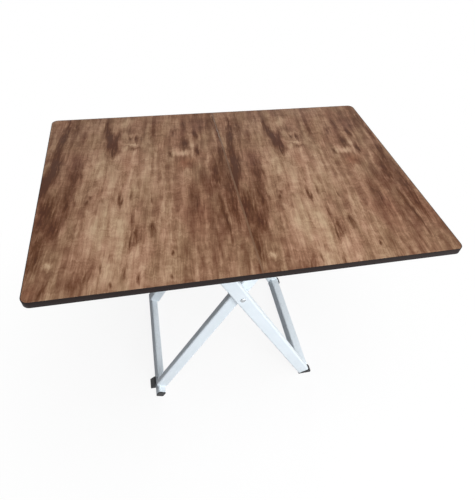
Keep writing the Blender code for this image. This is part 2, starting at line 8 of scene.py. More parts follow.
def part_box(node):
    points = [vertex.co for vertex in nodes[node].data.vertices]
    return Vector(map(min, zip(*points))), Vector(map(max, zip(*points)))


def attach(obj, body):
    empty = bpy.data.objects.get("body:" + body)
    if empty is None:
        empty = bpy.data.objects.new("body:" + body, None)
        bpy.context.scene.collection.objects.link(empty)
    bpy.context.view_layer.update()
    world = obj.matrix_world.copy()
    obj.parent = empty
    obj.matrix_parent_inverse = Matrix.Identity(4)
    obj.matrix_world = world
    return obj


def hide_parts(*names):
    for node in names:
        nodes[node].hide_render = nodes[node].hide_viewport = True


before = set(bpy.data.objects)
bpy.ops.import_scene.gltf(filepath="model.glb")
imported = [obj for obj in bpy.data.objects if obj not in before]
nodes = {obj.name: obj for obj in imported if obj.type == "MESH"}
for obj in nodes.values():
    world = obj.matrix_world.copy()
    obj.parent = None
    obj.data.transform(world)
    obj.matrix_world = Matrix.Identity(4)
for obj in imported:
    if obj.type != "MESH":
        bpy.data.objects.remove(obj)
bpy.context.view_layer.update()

# Boards: two leaves of chipboard, faced with printed melamine paper above and plain brown backing paper
# below. Both are cut from the same printed sheet, so the right one repeats the left one's figure a little
# further to the front. Their shape is the CAD solid's, and the facing is made here.


def linear(code):
    """The linear colour of an sRGB hex value."""
    channels = [int(code[at : at + 2], 16) / 255 for at in (1, 3, 5)]
    return (*[c / 12.92 if c <= 0.04045 else ((c + 0.055) / 1.055) ** 2.4 for c in channels], 1.0)


def add_node(tree, kind, feeds=(), **settings):
    """A node of this kind with its settings; feeds gives an input either a value or a socket to link."""
    made = tree.nodes.new(kind)
    for name, value in settings.items():
        setattr(made, name, value)
    for key, value in dict(feeds).items():
        if isinstance(value, bpy.types.NodeSocket):
            tree.links.new(value, made.inputs[key])
        else:
            made.inputs[key].default_value = value
    return made


def new_finish(name, **sockets):
    """A new surface finish: its material, node tree, shader and the piece's own coordinates in metres."""
    material = bpy.data.materials.new(name)
    material.use_nodes = True
    tree = material.node_tree
    shader = tree.nodes["Principled BSDF"]
    for socket, value in sockets.items():
        shader.inputs[socket.replace("_", " ")].default_value = value
    place = add_node(tree, "ShaderNodeTexCoord").outputs["Object"]
    return material, tree, shader, place


def dress(material, *names):
    """Gives the named CAD pieces this finish."""
    for name in names:
        nodes[name].data.materials.clear()
        nodes[name].data.materials.append(material)


# The printed figure's marks: across from the sheet's left edge, down from its back edge, half width, half
# length (all in millimetres), lean in degrees and strength.
DARK_MARKS = [
    (46, 20, 6, 38, 2, 0.60),
    (38, 78, 10, 42, 8, 0.70),
    (28, 150, 10, 55, 10, 0.65),
    (28, 215, 13, 36, 12, 0.80),
    (18, 265, 12, 36, 18, 1.00),
    (7, 312, 11, 44, 8, 1.00),
    (66, 40, 12, 52, 2, 0.40),
    (88, 110, 4, 40, 3, 0.30),
    (80, 262, 13, 70, 3, 0.40),
    (20, 390, 18, 36, 0, 0.50),
    (41, 448, 9, 30, 4, 0.70),
    (14, 440, 14, 60, 4, 0.35),
    (15, 525, 12, 40, 5, 0.35),
    (38, 608, 5, 26, 15, 0.45),
    (60, 372, 9, 60, 0, 0.35),
    (132, 15, 4, 20, 0, 0.35),
    (152, 30, 6, 30, 4, 0.40),
    (153, 80, 10, 36, -4, 0.80),
    (163, 130, 12, 45, -3, 0.85),
    (179, 106, 9, 22, 6, 0.60),
    (168, 160, 15, 30, 2, 0.75),
    (163, 187, 7, 20, 4, 0.50),
    (149, 150, 11, 25, 0, 0.30),
    (207, 115, 3, 14, 0, 0.45),
    (223, 120, 5, 18, 2, 0.55),
    (210, 165, 8, 10, 0, 0.50),
    (226, 162, 7, 5, 20, 0.40),
    (208, 70, 5, 20, 4, 0.30),
    (272, 90, 6, 60, 4, 0.40),
    (350, 160, 9, 32, 2, 0.75),
    (355, 62, 8, 30, 0, 0.35),
    (382, 116, 6, 23, -2, 0.75),
    (378, 200, 5, 27, 2, 0.70),
    (309, 203, 4, 13, 0, 0.65),
    (322, 100, 4, 22, 0, 0.35),
    (446, 40, 9, 50, 0, 0.45),
    (448, 120, 6, 40, 0, 0.45),
    (443, 205, 8, 30, 4, 0.40),
    (446, 345, 10, 75, 3, 0.50),
    (430, 250, 18, 40, 8, 0.30),
    (410, 302, 9, 36, 0, 0.65),
    (375, 312, 4, 30, 0, 0.35),
    (418, 60, 30, 60, 0, 0.25),
    (178, 372, 5, 27, 4, 0.75),
    (185, 315, 3, 12, 0, 0.45),
    (206, 350, 3, 22, 6, 0.40),
    (115, 358, 5, 9, 0, 0.55),
    (107, 376, 4, 9, 0, 0.40),
    (140, 375, 5, 12, 3, 0.45),
    (80, 375, 4, 12, 0, 0.35),
    (125, 305, 5, 14, 0, 0.30),
    (205, 440, 5, 36, 2, 0.40),
    (208, 490, 15, 28, 0, 0.55),
    (199, 516, 10, 18, 6, 0.45),
    (246, 478, 8, 22, 0, 0.55),
    (252, 385, 3, 12, 0, 0.35),
    (407, 455, 5, 72, 0, 0.65),
    (345, 405, 14, 60, 0, 0.30),
    (388, 335, 20, 40, 0, 0.25),
    (432, 430, 12, 60, 0, 0.40),
    (282, 553, 3, 7, 4, 0.60),
    (158, 615, 3, 7, 0, 0.75),
    (213, 610, 4, 14, 5, 0.75),
    (273, 613, 3, 6, 0, 0.70),
    (138, 572, 3, 16, 3, 0.50),
    (185, 590, 5, 25, 12, 0.45),
    (115, 585, 13, 40, 14, 0.35),
    (85, 610, 13, 30, 2, 0.35),
    (380, 540, 3, 40, 0, 0.30),
    (335, 560, 3, 30, -3, 0.30),
    (420, 400, 40, 260, 0, 0.20),
    (25, 330, 40, 330, 2, 0.22),
]
TAN_MARKS = [
    (192, 38, 20, 34, 28, 0.80),
    (120, 62, 16, 60, 0, 0.40),
    (110, 112, 12, 50, 0, 0.35),
    (215, 145, 18, 5, 0, 0.60),
    (240, 146, 5, 11, 0, 0.40),
    (213, 100, 3, 12, 0, 0.45),
    (190, 172, 8, 40, 8, 0.30),
    (262, 250, 28, 130, 2, 0.60),
    (120, 242, 11, 60, 2, 0.45),
    (340, 204, 24, 13, 0, 1.00),
    (365, 182, 5, 54, 2, 0.80),
    (370, 235, 3, 12, 0, 0.55),
    (325, 190, 7, 20, 0, 0.45),
    (425, 236, 8, 26, 6, 0.50),
    (418, 290, 3, 11, 0, 0.50),
    (40, 553, 8, 13, 8, 1.00),
    (420, 575, 8, 13, 4, 0.65),
    (345, 560, 4, 26, 0, 0.35),
    (110, 470, 18, 52, 0, 0.45),
    (145, 590, 17, 32, 4, 0.55),
    (150, 402, 14, 40, 0, 0.35),
    (38, 300, 8, 40, 10, 0.45),
    (12, 120, 6, 45, 6, 0.50),
    (155, 300, 18, 60, 0, 0.35),
    (330, 300, 18, 30, 0, 0.30),
    (245, 352, 28, 60, 0, 0.35),
    (60, 440, 7, 40, 3, 0.30),
    (300, 600, 30, 40, 0, 0.25),
    (165, 340, 62, 280, 1, 0.50),
    (190, 530, 90, 130, 0, 0.40),
]
RED_MARKS = [
    (342, 246, 26, 24, 0, 0.85),
    (378, 62, 48, 70, 0, 0.40),
    (300, 100, 20, 70, 3, 0.35),
    (350, 420, 38, 70, 0, 0.55),
    (75, 270, 16, 80, 3, 0.50),
    (20, 420, 24, 70, 0, 0.45),
    (195, 230, 14, 50, 3, 0.30),
    (15, 612, 12, 16, 10, 0.60),
]
# A mark fades out this many half widths and half lengths from its middle.
FADE_WIDE = 1.45
FADE_LONG = 1.35
GRAIN_LEAN = math.radians(6.0)
BACK_EDGE = 0.3175
BOARD_MIDDLE_HEIGHT = 0.7225


def printed_melamine(name, left, slip):
    """Pressed melamine: a brown figure of streaks along Y, printed under satin resin with shallow pores."""
    material, tree, shader, place = new_finish(name, Specular_IOR_Level=0.22)
    # places on the printed sheet: across from its left edge and down from its back edge
    corner = (slip[0] - left, BACK_EDGE - slip[1], 0.0)
    feeds = {"Vector": place, "Location": corner, "Scale": (1.0, -1.0, 0.0)}
    sheet = add_node(tree, "ShaderNodeMapping", feeds).outputs[0]

    def grain(where, wide, long, detail, start):
        """One layer of leaning grain, this wide across the board and this long down it, in millimetres."""
        feeds = {
            "Vector": where,
            "Location": (start, start, 0.0),
            "Rotation": (0.0, 0.0, GRAIN_LEAN),
            "Scale": (wide / 1000, long / 1000, 1.0),
        }
        grid = add_node(tree, "ShaderNodeMapping", feeds, vector_type="TEXTURE")
        feeds = {"Vector": grid.outputs[0], "Scale": 1.0, "Detail": detail}
        return add_node(tree, "ShaderNodeTexNoise", feeds)

    # the grain wanders: broad bends, then ragged edges of a few millimetres
    wandering = sheet
    for wide, long, detail, start, reach in (
        (90, 260, 2.0, 3.1, (0.016, 0.020, 0.0)),
        (7, 40, 4.0, 7.7, (0.008, 0.028, 0.0)),
    ):
        push = grain(sheet, wide, long, detail, start).outputs["Color"]
        feeds = {0: push, 1: (0.5, 0.5, 0.5)}
        centred = add_node(tree, "ShaderNodeVectorMath", feeds, operation="SUBTRACT").outputs[0]
        feeds = {0: centred, 1: reach, 2: wandering}
        wandering = add_node(tree, "ShaderNodeVectorMath", feeds, operation="MULTIPLY_ADD").outputs[0]

    def gathered(marks, total, weight):
        """The marks' strengths added to a total: each fades from its middle to its rim."""
        for across, down, half_wide, half_long, lean, strength in marks:
            feeds = {
                "Vector": wandering,
                "Location": (across / 1000, down / 1000, 0.0),
                "Rotation": (0.0, 0.0, math.radians(lean)),
                "Scale": (half_wide * FADE_WIDE / 1000, half_long * FADE_LONG / 1000, 1.0),
            }
            local = add_node(tree, "ShaderNodeMapping", feeds, vector_type="TEXTURE")
            spot = add_node(tree, "ShaderNodeTexGradient", {0: local.outputs[0]}, gradient_type="SPHERICAL")
            feeds = {0: spot.outputs["Fac"], 1: strength * weight, 2: total}
            total = add_node(tree, "ShaderNodeMath", feeds, operation="MULTIPLY_ADD").outputs[0]
        return total

    # the printed tone, from 0 for the darkest ink to 1 for the palest: a middle brown, then fibres, streaks,
    # bands, mottling and faint saw marks across, and the marks
    tone = 0.56
    for where, wide, long, detail, start, weight in (
        (sheet, 0.7, 22, 3.0, 9.7, 0.30),
        (wandering, 2.6, 50, 4.0, 1.3, 0.30),
        (wandering, 8, 70, 4.0, 2.9, 0.44),
        (wandering, 17, 330, 3.0, 6.1, 0.56),
        (wandering, 46, 300, 2.0, 5.3, 0.40),
        (wandering, 20, 26, 4.0, 8.2, 0.44),
        (wandering, 40, 5, 3.0, 4.4, 0.30),
    ):
        layer = grain(where, wide, long, detail, start).outputs["Fac"]
        centred = add_node(tree, "ShaderNodeMath", {0: layer, 1: 0.5}, operation="SUBTRACT").outputs[0]
        feeds = {0: centred, 1: weight, 2: tone}
        tone = add_node(tree, "ShaderNodeMath", feeds, operation="MULTIPLY_ADD").outputs[0]
    tone = gathered(TAN_MARKS, tone, weight=0.36)

    # the dark marks are clusters of streaks rather than stains
    dark = gathered(DARK_MARKS, 0.0, weight=1.0)
    streaks = grain(wandering, 4, 30, 4.0, 3.7).outputs["Fac"]
    feeds = {"Value": streaks, "From Min": 0.32, "From Max": 0.68, "To Min": -1.15, "To Max": -0.25}
    depth = add_node(tree, "ShaderNodeMapRange", feeds).outputs[0]
    feeds = {0: dark, 1: depth, 2: tone}
    tone = add_node(tree, "ShaderNodeMath", feeds, operation="MULTIPLY_ADD").outputs[0]
    ramp = add_node(tree, "ShaderNodeValToRGB", {0: tone})
    stops = (
        (0.08, "#48240a"),
        (0.28, "#5c381f"),
        (0.44, "#76523d"),
        (0.58, "#906e56"),
        (0.72, "#ad8b72"),
        (0.88, "#c7a98f"),
    )
    while len(ramp.color_ramp.elements) < len(stops):
        ramp.color_ramp.elements.new(0.5)
    for stop, (at, code) in zip(ramp.color_ramp.elements, stops):
        stop.position = at
        stop.color = linear(code)
    colour = ramp.outputs[0]

    # the hue drifts between a reddish and a greenish brown; a colour Mix node takes its two colours at
    # sockets 6 and 7 and gives the result at 2
    drift = grain(sheet, 40, 110, 2.0, 6.6).outputs["Fac"]
    feeds = {"Value": drift, "From Min": 0.35, "From Max": 0.65}
    drift = add_node(tree, "ShaderNodeMapRange", feeds).outputs[0]
    feeds = {0: drift, 6: linear("#fff4ef"), 7: linear("#fbfaf0")}
    tint = add_node(tree, "ShaderNodeMix", feeds, data_type="RGBA").outputs[2]
    red = gathered(RED_MARKS, 0.0, weight=0.9)
    for factor, other in ((1.0, tint), (red, linear("#e2c0b2"))):
        feeds = {0: factor, 6: colour, 7: other}
        colour = add_node(tree, "ShaderNodeMix", feeds, data_type="RGBA", blend_type="MULTIPLY").outputs[2]

    # the backing paper below is plain, with a cloudy tone
    height = add_node(tree, "ShaderNodeSeparateXYZ", {0: place}).outputs["Z"]
    feeds = {0: height, 1: BOARD_MIDDLE_HEIGHT}
    below = add_node(tree, "ShaderNodeMath", feeds, operation="LESS_THAN").outputs[0]
    cloud = grain(sheet, 35, 35, 4.0, 9.1).outputs["Fac"]
    feeds = {0: cloud, 6: linear("#6f5a49"), 7: linear("#86705c")}
    backing = add_node(tree, "ShaderNodeMix", feeds, data_type="RGBA").outputs[2]
    feeds = {0: below, 6: colour, 7: backing}
    colour = add_node(tree, "ShaderNodeMix", feeds, data_type="RGBA").outputs[2]
    tree.links.new(colour, shader.inputs["Base Color"])

    # satin resin: handling leaves broad, faintly glossier patches, and the press plate leaves pores along the
    # grain
    handled = grain(sheet, 70, 90, 3.0, 2.2).outputs["Fac"]
    feeds = {"Value": handled, "From Min": 0.3, "From Max": 0.7, "To Min": 0.46, "To Max": 0.60}
    rough = add_node(tree, "ShaderNodeMapRange", feeds).outputs[0]
    tree.links.new(rough, shader.inputs["Roughness"])
    pores = grain(sheet, 0.7, 16, 2.0, 5.9).outputs["Fac"]
    bump = add_node(tree, "ShaderNodeBump", {"Height": pores, "Strength": 0.12, "Distance": 0.0006})
    tree.links.new(bump.outputs[0], shader.inputs["Normal"])
    return material


# each leaf's left edge, and how far across and down the sheet its cut has slipped
for board, left, slip in (("left_board", -0.450, (0.0, 0.0)), ("right_board", 0.0, (0.009, 0.038))):
    dress(printed_melamine("printed_melamine_" + board, left, slip), board)

# Edge bands: brown-black ABS strip, glued round each leaf and trimmed flush with its faces. The strip along
# the seam is cut from a brown roll, close to the print, so that the joint hardly shows.
material, tree, shader, place = new_finish("trimmed_abs_edge_band", Specular_IOR_Level=0.12)
# a trimmed plastic strip: matt, with scrape lines along the edge that catch the light; they are drawn wider
# than the real ones, so that they show
feeds = {"Vector": place, "Scale": (1000 / 60, 1000 / 60, 1000 / 1.2)}
lines = add_node(tree, "ShaderNodeMapping", feeds).outputs[0]
feeds = {"Vector": lines, "Scale": 1.0, "Detail": 3.0}
scrapes = add_node(tree, "ShaderNodeTexNoise", feeds).outputs["Fac"]
feeds = {0: scrapes, 6: linear("#17100f"), 7: linear("#2b2221")}
dark = add_node(tree, "ShaderNodeMix", feeds, data_type="RGBA").outputs[2]
feeds = {0: scrapes, 6: linear("#6e503d"), 7: linear("#85664f")}
brown = add_node(tree, "ShaderNodeMix", feeds, data_type="RGBA").outputs[2]
# the brown roll is only within these reaches of the table's middle, so the front and rear edges stay dark
axes = add_node(tree, "ShaderNodeSeparateXYZ", {0: place}).outputs
seam = 1.0
for axis, reach in (("X", 0.003), ("Y", 0.3160)):
    away = add_node(tree, "ShaderNodeMath", {0: axes[axis]}, operation="ABSOLUTE").outputs[0]
    within = add_node(tree, "ShaderNodeMath", {0: away, 1: reach}, operation="LESS_THAN").outputs[0]
    seam = add_node(tree, "ShaderNodeMath", {0: within, 1: seam}, operation="MULTIPLY").outputs[0]
colour = add_node(tree, "ShaderNodeMix", {0: seam, 6: dark, 7: brown}, data_type="RGBA").outputs[2]
tree.links.new(colour, shader.inputs["Base Color"])
feeds = {"Value": scrapes, "To Min": 0.42, "To Max": 0.62}
tree.links.new(add_node(tree, "ShaderNodeMapRange", feeds).outputs[0], shader.inputs["Roughness"])
bump = add_node(tree, "ShaderNodeBump", {"Height": scrapes, "Strength": 0.15, "Distance": 0.0004})
tree.links.new(bump.outputs[0], shader.inputs["Normal"])
# the strip's section, in millimetres: inset from the leaf's outline and height, with eased outer arrises
SECTION = [
    (1.48, 715),
    (0.4, 715),
    (0.12, 715.12),
    (0, 715.4),
    (0, 729.6),
    (0.12, 729.88),
    (0.4, 730),
    (1.48, 730),
]
LEAF_WIDTH = 450
HALF_DEPTH = 317.5
CORNER_RADIUS = 16
CORNER_STEPS = 8
# along the seam the strip is a third thicker, and all but meets the other leaf's
SEAM_CLEARANCE = 0.002
SEAM_THICKNESS = 1.33
SHARP_ANGLE = math.radians(50)
for side, leaf in ((1, "right"), (-1, "left")):
    rings = []
    for inset, height in SECTION:
        seam_x = SEAM_CLEARANCE + inset * SEAM_THICKNESS
        depth = HALF_DEPTH - inset
        radius = CORNER_RADIUS - inset
        ring = [(seam_x, depth), (seam_x, -depth)]
        for end, first in ((-1, -90), (1, 0)):
            middle_x = LEAF_WIDTH - CORNER_RADIUS
            middle_y = end * (HALF_DEPTH - CORNER_RADIUS)
            for step in range(CORNER_STEPS + 1):
                angle = math.radians(first + 90 * step / CORNER_STEPS)
                ring.append((middle_x + radius * math.cos(angle), middle_y + radius * math.sin(angle)))
        rings.append([Vector((side * x, y, height)) / 1000 for x, y in ring])
    bm = bmesh.new()
    rows = [[bm.verts.new(point) for point in ring] for ring in rings]
    for row, after in zip(rows, rows[1:] + rows[:1]):
        for at in range(len(row)):
            bm.faces.new((row[at - 1], row[at], after[at], after[at - 1]))
    bmesh.ops.recalc_face_normals(bm, faces=bm.faces)
    band_mesh = bpy.data.meshes.new(leaf + "_band")
    bm.to_mesh(band_mesh)
    bm.free()
    band_mesh.shade_smooth()
    band_mesh.set_sharp_from_angle(angle=SHARP_ANGLE)
    band_mesh.materials.append(material)
    band = bpy.data.objects.new(leaf + "_band", band_mesh)
    bpy.context.scene.collection.objects.link(band)
    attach(band, leaf + "_leaf")
    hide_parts(leaf + "_edge_band")

# Leg frames and brackets: flat and square steel tube and pressed plate, welded and then powder coated. Each
# frame is two legs joined by a bar at the floor, and the brackets carry the boards on the leg tops.
coat, tree, shader, place = new_finish("white_powder_coat", IOR=1.5)
# baked powder: cold white, cloudy by a shade, with the fine orange peel in which it flowed; below 9 cm
# it turns darker grey towards the floor, in patches
feeds = {"Vector": place, "Scale": 1000 / 70, "Detail": 4.0}
cloud = add_node(tree, "ShaderNodeTexNoise", feeds).outputs["Fac"]
feeds = {0: cloud, 6: linear("#e1ecf3"), 7: linear("#f0f7fc")}
colour = add_node(tree, "ShaderNodeMix", feeds, data_type="RGBA").outputs[2]
feeds = {"Vector": place, "Scale": 1000 / 9, "Detail": 5.0, "Roughness": 0.7}
patch_noise = add_node(tree, "ShaderNodeTexNoise", feeds).outputs["Fac"]
height = add_node(tree, "ShaderNodeSeparateXYZ", {0: place}).outputs["Z"]
# darker grey towards the floor: no change above 9 cm, up to a 0.45 mix at the floor, most where the patch
# noise is high
feeds = {"Value": height, "From Min": 0.09, "From Max": 0.0, "To Min": 0.0, "To Max": 0.45}
low = add_node(tree, "ShaderNodeMapRange", feeds).outputs[0]
feeds = {"Value": patch_noise, "From Min": 0.52, "From Max": 0.72, "To Min": 0.06, "To Max": 1.0}
patch = add_node(tree, "ShaderNodeMapRange", feeds).outputs[0]
greyer_near_floor = add_node(tree, "ShaderNodeMath", {0: low, 1: patch}, operation="MULTIPLY").outputs[0]
feeds = {0: greyer_near_floor, 6: colour, 7: linear("#a3a7a8")}
colour = add_node(tree, "ShaderNodeMix", feeds, data_type="RGBA").outputs[2]
tree.links.new(colour, shader.inputs["Base Color"])
feeds = {"Value": cloud, "From Min": 0.3, "From Max": 0.7, "To Min": 0.30, "To Max": 0.42}
tree.links.new(add_node(tree, "ShaderNodeMapRange", feeds).outputs[0], shader.inputs["Roughness"])
feeds = {"Vector": place, "Scale": 1000 / 2.2, "Detail": 1.0}
peel = add_node(tree, "ShaderNodeTexNoise", feeds).outputs["Fac"]
bump = add_node(tree, "ShaderNodeBump", {"Height": peel, "Strength": 0.10, "Distance": 0.0008})
tree.links.new(bump.outputs[0], shader.inputs["Normal"])
for name in nodes:
    if "_cap" not in name and ("_leg_" in name or "_bottom_bar" in name or "_bracket_" in name):
        dress(coat, name)

# Welds: the inner legs stand on their bar, and the outer bar ends against its legs. A rippled bead of weld
# metal runs round each of these joints, under the powder coat.
beads = bpy.data.node_groups.new("rippled_weld_bead", "GeometryNodeTree")
for title, kind in (
    ("Path", "Geometry"),
    ("Ripple Spacing", "Float"),
    ("Bead Radius", "Float"),
    ("Coat", "Material"),
):
    beads.interface.new_socket(title, in_out="INPUT", socket_type="NodeSocket" + kind)
beads.interface.new_socket("Beads", in_out="OUTPUT", socket_type="NodeSocketGeometry")
given = add_node(beads, "NodeGroupInput").outputs
path = add_node(beads, "GeometryNodeMeshToCurve", {"Mesh": given["Path"]})
feeds = {"Curve": path.outputs[0], "Length": given["Ripple Spacing"]}
steps = add_node(beads, "GeometryNodeResampleCurve", feeds, mode="LENGTH")
drop = add_node(beads, "GeometryNodeMeshIcoSphere", {"Radius": given["Bead Radius"], "Subdivisions": 2})
along = add_node(beads, "GeometryNodeInputTangent").outputs[0]
lie = add_node(beads, "FunctionNodeAlignRotationToVector", {"Vector": along}, axis="Z")
# each ripple is a drop, flattened along the path
feeds = {
    "Points": steps.outputs[0],
    "Instance": drop.outputs["Mesh"],
    "Rotation": lie.outputs[0],
    "Scale": (1.0, 1.0, 0.75),
}
placed = add_node(beads, "GeometryNodeInstanceOnPoints", feeds)
solid = add_node(beads, "GeometryNodeRealizeInstances", {0: placed.outputs[0]})
smooth = add_node(beads, "GeometryNodeSetShadeSmooth", {"Geometry": solid.outputs[0]})
feeds = {"Geometry": smooth.outputs[0], "Material": given["Coat"]}
coated = add_node(beads, "GeometryNodeSetMaterial", feeds)
add_node(beads, "NodeGroupOutput", {0: coated.outputs[0]})


def settle(name, points, edges, tree, inputs, body):
    """Runs a tree on a sketch of points and edges and keeps the result as a plain mesh on a body."""
    sketch = bpy.data.meshes.new(name)
    sketch.from_pydata(points, edges, [])
    piece = bpy.data.objects.new(name, sketch)
    bpy.context.scene.collection.objects.link(piece)
    modifier = piece.modifiers.new(tree.name, "NODES")
    modifier.node_group = tree
    for item in tree.interface.items_tree:
        if item.in_out == "INPUT" and item.name in inputs:
            modifier[item.identifier] = inputs[item.name]
    graph = bpy.context.evaluated_depsgraph_get()
    made = bpy.data.meshes.new_from_object(piece.evaluated_get(graph))
    piece.modifiers.clear()
    piece.data = made
    made.name = name
    bpy.data.meshes.remove(sketch)
    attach(piece, body)


bead = {"Ripple Spacing": 0.0018, "Bead Radius": 0.0019, "Coat": coat}
# the legs cross at the scissor pivot, and lean this far from upright on either side of it
LEAN = math.radians(27.8)
PIVOT = Vector((0.0, 0.010, 0.486))
# the inner leg's foot, from the pivot in the leg's own directions: its end on the bar, its two flat sides
# and the bar's edges, with the runs of weld along them stopping short of the corners
LEG_END = -0.5151
LEG_SIDES = (0.1662, 0.1858)
LEG_SIDE_RUN = (-0.0085, 0.0085)
BAR_EDGES = (-0.0124, 0.0124)
BAR_EDGE_RUN = (0.1700, 0.1820)
runs = [[(x, y) for x in LEG_SIDE_RUN] for y in LEG_SIDES]
runs += [[(x, y) for y in BAR_EDGE_RUN] for x in BAR_EDGES]
points, edges = [], []
turn = Matrix.Rotation(LEAN, 3, "Y")
for end in (-1, 1):
    for run in runs:
        points += [turn @ Vector((x, end * y, LEG_END)) + PIVOT for x, y in run]
        edges.append((len(points) - 2, len(points) - 1))
settle("inner_frame_welds", points, edges, beads, bead, "inner_frame")

# the outer bar is square: it lies this far down its legs from the pivot, is turned a little on its length and
# ends this far from the frame's middle
OUTER_BAR_DOWN = -0.52586
OUTER_BAR_TURN = math.radians(16.7)
OUTER_BAR_END = 0.1900


def bar_ring(half, radius, along):
    """A rounded square round the outer bar's middle line, at one place along the bar."""
    middle = Matrix.Rotation(-LEAN, 3, "Y") @ Vector((0.0, 0.0, OUTER_BAR_DOWN)) + PIVOT
    middle += Vector((0.0, along, 0.0))
    ring = []
    for quarter in range(4):
        square = Matrix.Rotation(math.radians(90 * quarter), 3, "Y")
        corner = square @ Vector((half - radius, 0.0, half - radius))
        for step in range(4):
            angle = math.radians(90 * quarter + 30 * step)
            reach = Vector((math.sin(angle), 0.0, math.cos(angle))) * radius
            ring.append(Matrix.Rotation(OUTER_BAR_TURN, 3, "Y") @ (corner + reach) + middle)
    return ring


points, edges = [], []
for end in (-1, 1):
    ring = bar_ring(half=0.0161, radius=0.0048, along=end * OUTER_BAR_END)
    edges += [(len(points) + step, len(points) + (step + 1) % len(ring)) for step in range(len(ring))]
    points += ring
settle("outer_frame_welds", points, edges, beads, bead, "outer_frame")

# Bar end plates: small steel plates that close the outer bar's ends, which reach a little past the legs.
# They are welded in and coated with the frame.
PLATE_FACES = (0.1888, 0.1903)
plates_mesh = bpy.data.meshes.new("outer_bar_end_plates")
bm = bmesh.new()
for end in (-1, 1):
    rings = [bar_ring(half=0.0150, radius=0.0040, along=end * along) for along in PLATE_FACES]
    inside, outside = [[bm.verts.new(point) for point in ring] for ring in rings]
    bm.faces.new(inside)
    bm.faces.new(outside)
    for at in range(len(inside)):
        bm.faces.new((inside[at - 1], inside[at], outside[at], outside[at - 1]))
bmesh.ops.recalc_face_normals(bm, faces=bm.faces)
bm.to_mesh(plates_mesh)
bm.free()
plates_mesh.materials.append(coat)
plates = bpy.data.objects.new("outer_bar_end_plates", plates_mesh)
bpy.context.scene.collection.objects.link(plates)
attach(plates, "outer_frame")

# Feet, caps and washers: moulded black polypropylene. The caps and the outer feet are pressed into the tube
# ends, the inner feet sit under their bar, and the washers keep the legs apart on the scissor rivets.
material, tree, shader, place = new_finish("moulded_black_polypropylene", IOR=1.49)
# spark-eroded moulds leave a matt grit, drawn coarser than it is so that it shows, and the floor scuffs the
# soles grey
feeds = {"Vector": place, "Scale": 1000 / 1.2, "Detail": 2.0}
grit = add_node(tree, "ShaderNodeTexNoise", feeds).outputs["Fac"]
feeds = {0: grit, 6: linear("#131315"), 7: linear("#27272a")}
colour = add_node(tree, "ShaderNodeMix", feeds, data_type="RGBA").outputs[2]
height = add_node(tree, "ShaderNodeSeparateXYZ", {0: place}).outputs["Z"]
feeds = {"Value": height, "From Min": 0.005, "From Max": 0.0, "To Min": 0.0, "To Max": 0.5}
sole = add_node(tree, "ShaderNodeMapRange", feeds).outputs[0]
feeds = {0: sole, 6: colour, 7: linear("#4a4a4b")}
colour = add_node(tree, "ShaderNodeMix", feeds, data_type="RGBA").outputs[2]
tree.links.new(colour, shader.inputs["Base Color"])
feeds = {"Value": grit, "To Min": 0.45, "To Max": 0.65}
tree.links.new(add_node(tree, "ShaderNodeMapRange", feeds).outputs[0], shader.inputs["Roughness"])
bump = add_node(tree, "ShaderNodeBump", {"Height": grit, "Strength": 0.25, "Distance": 0.0004})
tree.links.new(bump.outputs[0], shader.inputs["Normal"])
for name in nodes:
    if "_foot_" in name or "_cap" in name or "washer" in name:
        dress(material, name)

# Rivets, bolts and hinges: zinc plated steel. Each rivet is set through the two pieces that it joins, and the
# butt hinges are rolled round their pins.
zinc, tree, shader, place = new_finish("zinc_plated_steel", Metallic=1.0)
# bright plating, passivated to a cool grey, with a cloudy spangle that is duller in patches
feeds = {"Vector": place, "Scale": 1000 / 4, "Detail": 3.0}
cloud = add_node(tree, "ShaderNodeTexNoise", feeds).outputs["Fac"]
feeds = {0: cloud, 6: linear("#9fa4a8"), 7: linear("#cdd1d4")}
colour = add_node(tree, "ShaderNodeMix", feeds, data_type="RGBA").outputs[2]
tree.links.new(colour, shader.inputs["Base Color"])
feeds = {"Value": cloud, "From Min": 0.3, "From Max": 0.7, "To Min": 0.26, "To Max": 0.44}
tree.links.new(add_node(tree, "ShaderNodeMapRange", feeds).outputs[0], shader.inputs["Roughness"])
bump = add_node(tree, "ShaderNodeBump", {"Height": cloud, "Strength": 0.08, "Distance": 0.0003})
tree.links.new(bump.outputs[0], shader.inputs["Normal"])
for name in nodes:
    if any(word in name for word in ("rivet", "bolt", "stud", "hinge")):
        dress(zinc, name)

# Screws: zinc plated pan-head chipboard screws with a cross recess. Two go through each bracket's flange and
# three through each hinge plate, up into the boards.
screws = bpy.data.node_groups.new("pan_head_screws", "GeometryNodeTree")
for title, kind in (
    ("Places", "Geometry"),
    ("Head Radius", "Float"),
    ("Head Height", "Float"),
    ("Recess Width", "Float"),
    ("Metal", "Material"),
):
    screws.interface.new_socket(title, in_out="INPUT", socket_type="NodeSocket" + kind)
screws.interface.new_socket("Screws", in_out="OUTPUT", socket_type="NodeSocketGeometry")
given = add_node(screws, "NodeGroupInput").outputs
# the head is a ball with its lower half pressed flat and its upper half lowered to the head's height
feeds = {"Segments": 20, "Rings": 12, "Radius": given["Head Radius"]}
ball = add_node(screws, "GeometryNodeMeshUVSphere", feeds)
spot = add_node(screws, "GeometryNodeInputPosition").outputs[0]
axes = add_node(screws, "ShaderNodeSeparateXYZ", {0: spot}).outputs
lifted = add_node(screws, "ShaderNodeMath", {0: axes["Z"], 1: 0.0}, operation="MAXIMUM").outputs[0]
feeds = {0: given["Head Height"], 1: given["Head Radius"]}
lowering = add_node(screws, "ShaderNodeMath", feeds, operation="DIVIDE").outputs[0]
crown = add_node(screws, "ShaderNodeMath", {0: lifted, 1: lowering}, operation="MULTIPLY").outputs[0]
shaped = add_node(screws, "ShaderNodeCombineXYZ", {"X": axes["X"], "Y": axes["Y"], "Z": crown}).outputs[0]
head = add_node(screws, "GeometryNodeSetPosition", {"Geometry": ball.outputs["Mesh"], "Position": shaped})
